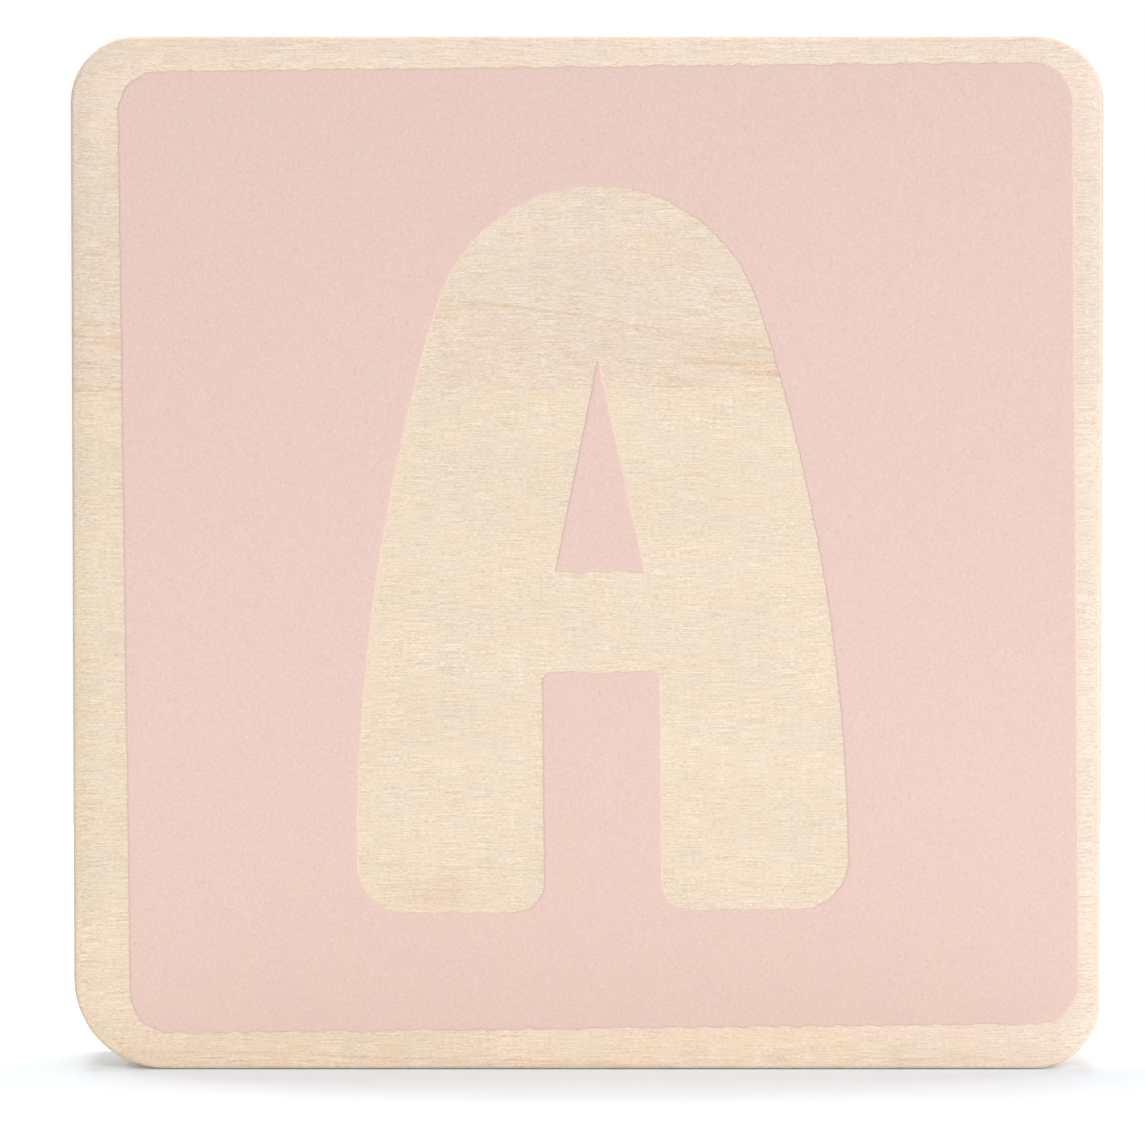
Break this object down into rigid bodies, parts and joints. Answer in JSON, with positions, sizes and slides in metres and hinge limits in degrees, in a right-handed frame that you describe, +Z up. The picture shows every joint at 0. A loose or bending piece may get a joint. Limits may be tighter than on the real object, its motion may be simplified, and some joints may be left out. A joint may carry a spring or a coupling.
{
  "type": "letter train car",
  "caption": "Square wooden plate of a toy letter train, standing on its edge: glued staves, a pink print around a bare wood letter, and magnets plugged into its side edges.",
  "frame": {"origin": "middle of the lower edge that the car stands on", "axes": "+Z up the plate, -Y out of the printed front, +X to the right as seen from the front"},
  "size_m": [0.075, 0.0121, 0.0753],
  "materials": {
    "wood": "pale, fine-grained wood, sanded and unvarnished",
    "plug_wood": "dowel end grain, sanded flush",
    "print": "matte pale pink acrylic paint, screen printed",
    "magnet": "nickel plated"
  },
  "bodies": {
    "root": {"upper_stave": "wood", "lower_stave": "wood", "paint_field": "print", "paint_counter": "print", "left_magnet": "magnet", "right_magnet": "magnet", "left_plug": "plug_wood", "right_plug": "plug_wood"}
  },
  "joints": []
}
